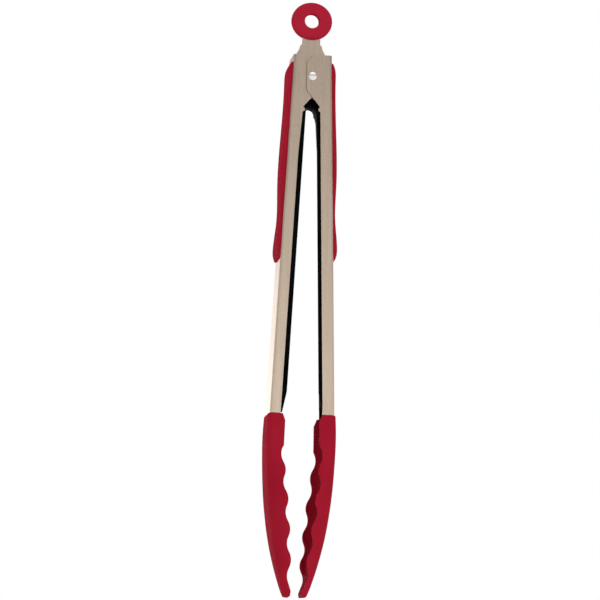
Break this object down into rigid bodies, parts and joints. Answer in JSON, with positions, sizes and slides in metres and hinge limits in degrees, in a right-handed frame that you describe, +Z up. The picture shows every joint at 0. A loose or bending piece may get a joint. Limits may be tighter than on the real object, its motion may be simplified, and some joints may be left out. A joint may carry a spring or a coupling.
{
  "type": "kitchen tongs",
  "caption": "Spring loaded kitchen tongs: two steel channel arms on a rivet, red silicone grips and scalloped heads, and a pull-ring lock that also hangs them.",
  "frame": {"origin": "centre of the hanging hole in the pull ring", "axes": "+Z up along the tongs towards the ring, +X across the two arms, +Y along the pivot rivet and the hanging hole"},
  "size_m": [0.0386, 0.038, 0.336],
  "materials": {
    "ring_silicone": "soft matt red silicone",
    "grip_silicone": "soft matt red silicone",
    "head_silicone": "matt red silicone, fine moulded texture",
    "arm_steel": "brushed stainless steel, grain along the arm, warm tint",
    "plate_steel": "brushed stainless sheet",
    "rivet_steel": "bright domed rivet",
    "hidden_steel": "plain steel",
    "black_nylon": "black nylon, satin",
    "spring_black": "black acetal, satin"
  },
  "bodies": {
    "pull_tab": {"pull_ring": "ring_silicone", "lock_plate": "plate_steel"},
    "pivot": {"pivot_rivet": "rivet_steel", "pivot_bush_front": "hidden_steel", "pivot_bush_back": "hidden_steel", "pivot_washer_front": "hidden_steel", "pivot_washer_back": "hidden_steel", "u_spring": "spring_black"},
    "left_arm": {"left_arm": "arm_steel", "left_grip": "grip_silicone", "left_grip_studs": "black_nylon", "left_liner": "black_nylon", "left_head": "head_silicone", "left_head_core": "hidden_steel", "left_head_rivets": "hidden_steel"},
    "right_arm": {"right_arm": "arm_steel", "right_grip": "grip_silicone", "right_grip_studs": "black_nylon", "right_liner": "black_nylon", "right_head": "head_silicone", "right_head_core": "hidden_steel", "right_head_rivets": "hidden_steel"}
  },
  "joints": [
    {"name": "ring_slide", "type": "slide", "parent": "pull_tab", "child": "pivot", "axis": [0, 0, 1], "range_m": [-0.00024, 0.00701]},
    {"name": "left_arm_hinge", "type": "hinge", "parent": "pivot", "child": "left_arm", "pos_m": [0, 0, -0.0337], "axis": [0, 1, 0], "range_deg": [-0.5, 15], "stiffness_Nm_per_rad": 0.95, "springref_deg": 24.06, "deforming": ["u_spring"]},
    {"name": "right_arm_hinge", "type": "hinge", "parent": "pivot", "child": "right_arm", "pos_m": [0, 0, -0.0337], "axis": [0, -1, 0], "range_deg": [-0.5, 15], "stiffness_Nm_per_rad": 0.95, "springref_deg": 24.06}
  ],
  "couplings": [
    {"joint": "right_arm_hinge", "follows": "left_arm_hinge", "ratio": 1},
    {"joint": "ring_slide", "follows": "left_arm_hinge", "m_per_rad": 0.026738}
  ]
}
